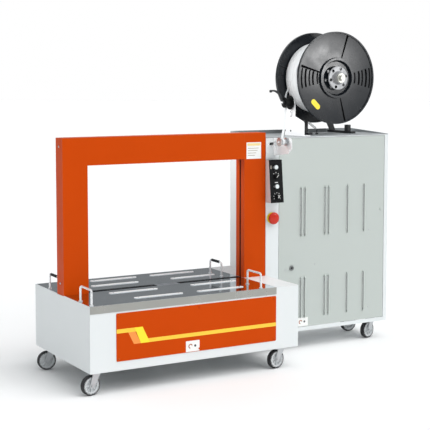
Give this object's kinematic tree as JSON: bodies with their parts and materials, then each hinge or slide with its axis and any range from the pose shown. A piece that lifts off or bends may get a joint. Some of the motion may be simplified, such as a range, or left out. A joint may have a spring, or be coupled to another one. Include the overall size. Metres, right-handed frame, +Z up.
{
  "type": "strapping machine",
  "caption": "Semi automatic arch strapping machine on casters with lift-off table plates, control cabinet and strap reel.",
  "frame": {"origin": "centre of the footprint box at floor level, under the casters", "axes": "+X along the machine from the table towards the cabinet, +Y from the operator side to the back, +Z up"},
  "size_m": [1.9104, 0.6648, 1.653],
  "materials": {
    "white_paint": "semi-gloss powder coat",
    "orange_paint": "gloss paint",
    "cabinet_grey": "satin powder coat",
    "stainless": "brushed",
    "table_steel": "polished, mirror like",
    "chrome": "polished",
    "zinc_steel": "zinc plated",
    "black_steel": "satin black paint",
    "black_plastic": "fine textured",
    "reel_plastic": "semi-gloss moulded",
    "track_plastic": "matte",
    "strap_plastic": "glossy strap",
    "glide_plastic": "low friction plastic",
    "button_white": "gloss",
    "red_plastic": "gloss",
    "tyre_rubber": "matte rubber",
    "head_steel": "machined and painted",
    "panel_parts": "matte"
  },
  "bodies": {
    "machine": {"base_frame": "white_paint", "base_left_panel": "white_paint", "base_right_cover": "white_paint", "base_front_sheet": "white_paint", "base_rear_panel": "white_paint", "front_cover": "orange_paint", "front_edge_strip": "stainless", "cover_screws": "zinc_steel", "arch_left_post": "orange_paint", "arch_right_post": "orange_paint", "arch_top_beam": "orange_paint", "arch_track": "track_plastic", "strapping_head": "head_steel", "cabinet_shell": "white_paint", "cabinet_top": "white_paint", "electrical_panel": "panel_parts", "control_station": "black_plastic", "reel_stand": "black_steel", "upper_guide_bracket": "white_paint", "lower_guide_bracket": "zinc_steel", "caster_plates": "zinc_steel", "cable_gland": "black_plastic", "strap_run": "strap_plastic"},
    "cam_shaft": {"head_cam_shaft": "zinc_steel"},
    "front_table": {"table_front_plate": "table_steel", "front_glide_strips": "glide_plastic", "front_handles": "chrome"},
    "rear_table": {"table_rear_plate": "table_steel", "rear_glide_strips": "glide_plastic", "rear_handles": "chrome"},
    "door": {"cabinet_door": "cabinet_grey"},
    "lock": {"door_lock": "chrome"},
    "reel": {"reel_front_flange": "reel_plastic", "reel_rear_flange": "reel_plastic", "strap_roll": "strap_plastic"},
    "lock_nut": {"reel_lock_nut": "stainless"},
    "guide_arm": {"dancer_arm": "black_steel"},
    "upper_roller": {"guide_roller_upper": "black_plastic"},
    "lower_roller": {"guide_roller_lower": "zinc_steel"},
    "start_button": {"start_button": "button_white"},
    "stop_button": {"stop_button": "button_white"},
    "mode_knob": {"mode_knob": "black_plastic"},
    "tension_knob": {"tension_knob": "black_plastic"},
    "estop": {"estop_button": "red_plastic"},
    "caster_fork_1": {"caster_fork_1": "zinc_steel"},
    "caster_wheel_1": {"caster_wheel_1": "tyre_rubber"},
    "caster_fork_2": {"caster_fork_2": "zinc_steel"},
    "caster_wheel_2": {"caster_wheel_2": "tyre_rubber"},
    "caster_fork_3": {"caster_fork_3": "zinc_steel"},
    "caster_wheel_3": {"caster_wheel_3": "tyre_rubber"},
    "caster_fork_4": {"caster_fork_4": "zinc_steel"},
    "caster_wheel_4": {"caster_wheel_4": "tyre_rubber"},
    "caster_fork_5": {"caster_fork_5": "zinc_steel"},
    "caster_wheel_5": {"caster_wheel_5": "tyre_rubber"},
    "caster_fork_6": {"caster_fork_6": "zinc_steel"},
    "caster_wheel_6": {"caster_wheel_6": "tyre_rubber"},
    "caster_fork_7": {"caster_fork_7": "zinc_steel"},
    "caster_wheel_7": {"caster_wheel_7": "tyre_rubber"},
    "caster_fork_8": {"caster_fork_8": "zinc_steel"},
    "caster_wheel_8": {"caster_wheel_8": "tyre_rubber"}
  },
  "joints": [
    {"name": "cam_shaft_spin", "type": "hinge", "parent": "machine", "child": "cam_shaft", "pos_m": [-0.37978, 0.011, 0.293], "axis": [0, 1, 0], "continuous": true},
    {"name": "front_table_lift", "type": "slide", "parent": "machine", "child": "front_table", "axis": [0, 0, 1], "range_m": [0, 0.15]},
    {"name": "rear_table_lift", "type": "slide", "parent": "machine", "child": "rear_table", "axis": [0, 0, 1], "range_m": [0, 0.15]},
    {"name": "door_hinge", "type": "hinge", "parent": "machine", "child": "door", "pos_m": [0.92522, -0.024, 0.608], "axis": [0, 0, 1], "range_deg": [0, 110]},
    {"name": "door_lock_turn", "type": "hinge", "parent": "door", "child": "lock", "pos_m": [0.33722, -0.029, 0.432], "axis": [0, 1, 0], "range_deg": [-90, 0]},
    {"name": "reel_spin", "type": "hinge", "parent": "machine", "child": "reel", "pos_m": [0.65722, 0.141, 1.41], "axis": [0, 1, 0], "continuous": true},
    {"name": "lock_nut_turn", "type": "hinge", "parent": "reel", "child": "lock_nut", "pos_m": [0.65722, 0.021, 1.41], "axis": [0, 1, 0], "continuous": true},
    {"name": "guide_arm_swing", "type": "hinge", "parent": "machine", "child": "guide_arm", "pos_m": [0.35822, 0.09, 1.283], "axis": [1, 0, 0], "range_deg": [-30, 0], "stiffness_Nm_per_rad": 0.5, "springref_deg": 28.65},
    {"name": "upper_roller_spin", "type": "hinge", "parent": "machine", "child": "upper_roller", "pos_m": [0.38322, 0.09, 1.283], "axis": [1, 0, 0], "continuous": true},
    {"name": "lower_roller_spin", "type": "hinge", "parent": "machine", "child": "lower_roller", "pos_m": [0.21422, -0.129, 1.0925], "axis": [1, 0, 0], "continuous": true},
    {"name": "start_press", "type": "slide", "parent": "machine", "child": "start_button", "axis": [0, 0.9953, -0.0968], "range_m": [0, 0.004], "stiffness_N_per_m": 400, "springref_m": -0.003},
    {"name": "stop_press", "type": "slide", "parent": "machine", "child": "stop_button", "axis": [0, 0.9953, -0.0968], "range_m": [0, 0.004], "stiffness_N_per_m": 400, "springref_m": -0.003},
    {"name": "mode_turn", "type": "hinge", "parent": "machine", "child": "mode_knob", "pos_m": [0.21822, -0.06407, 0.915], "axis": [0, -0.9953, 0.0968], "range_deg": [0, 90]},
    {"name": "tension_turn", "type": "hinge", "parent": "machine", "child": "tension_knob", "pos_m": [0.21822, -0.07399, 0.813], "axis": [0, -0.9953, 0.0968], "range_deg": [-135, 135]},
    {"name": "estop_press", "type": "slide", "parent": "machine", "child": "estop", "axis": [0, 1, 0], "range_m": [0, 0.005], "stiffness_N_per_m": 600, "springref_m": -0.004},
    {"name": "caster_swivel_1", "type": "hinge", "parent": "machine", "child": "caster_fork_1", "pos_m": [-0.87478, -0.289, 0.1], "axis": [0, 0, 1], "continuous": true},
    {"name": "caster_roll_1", "type": "hinge", "parent": "caster_fork_1", "child": "caster_wheel_1", "pos_m": [-0.90944, -0.29387, 0.045], "axis": [-0.1392, 0.9903, 0], "continuous": true},
    {"name": "caster_swivel_2", "type": "hinge", "parent": "machine", "child": "caster_fork_2", "pos_m": [-0.87478, 0.229, 0.1], "axis": [0, 0, 1], "continuous": true},
    {"name": "caster_roll_2", "type": "hinge", "parent": "caster_fork_2", "child": "caster_wheel_2", "pos_m": [-0.90944, 0.23387, 0.045], "axis": [0.1392, 0.9903, 0], "continuous": true},
    {"name": "caster_swivel_3", "type": "hinge", "parent": "machine", "child": "caster_fork_3", "pos_m": [0.10522, -0.289, 0.1], "axis": [0, 0, 1], "continuous": true},
    {"name": "caster_roll_3", "type": "hinge", "parent": "caster_fork_3", "child": "caster_wheel_3", "pos_m": [0.07056, -0.29387, 0.045], "axis": [-0.1392, 0.9903, 0], "continuous": true},
    {"name": "caster_swivel_4", "type": "hinge", "parent": "machine", "child": "caster_fork_4", "pos_m": [0.11322, 0.211, 0.1], "axis": [0, 0, 1], "continuous": true},
    {"name": "caster_roll_4", "type": "hinge", "parent": "caster_fork_4", "child": "caster_wheel_4", "pos_m": [0.07841, 0.21466, 0.045], "axis": [0.1045, 0.9945, 0], "continuous": true},
    {"name": "caster_swivel_5", "type": "hinge", "parent": "machine", "child": "caster_fork_5", "pos_m": [0.31522, 0.027, 0.1], "axis": [0, 0, 1], "continuous": true},
    {"name": "caster_roll_5", "type": "hinge", "parent": "caster_fork_5", "child": "caster_wheel_5", "pos_m": [0.28075, 0.03308, 0.045], "axis": [0.1736, 0.9848, 0], "continuous": true},
    {"name": "caster_swivel_6", "type": "hinge", "parent": "machine", "child": "caster_fork_6", "pos_m": [0.31522, 0.201, 0.1], "axis": [0, 0, 1], "continuous": true},
    {"name": "caster_roll_6", "type": "hinge", "parent": "caster_fork_6", "child": "caster_wheel_6", "pos_m": [0.28041, 0.19734, 0.045], "axis": [-0.1045, 0.9945, 0], "continuous": true},
    {"name": "caster_swivel_7", "type": "hinge", "parent": "machine", "child": "caster_fork_7", "pos_m": [0.89722, 0.027, 0.1], "axis": [0, 0, 1], "continuous": true},
    {"name": "caster_roll_7", "type": "hinge", "parent": "caster_fork_7", "child": "caster_wheel_7", "pos_m": [0.86341, 0.01794, 0.045], "axis": [-0.2588, 0.9659, 0], "continuous": true},
    {"name": "caster_swivel_8", "type": "hinge", "parent": "machine", "child": "caster_fork_8", "pos_m": [0.90722, 0.201, 0.1], "axis": [0, 0, 1], "continuous": true},
    {"name": "caster_roll_8", "type": "hinge", "parent": "caster_fork_8", "child": "caster_wheel_8", "pos_m": [0.87235, 0.20405, 0.045], "axis": [0.0872, 0.9962, 0], "continuous": true}
  ]
}
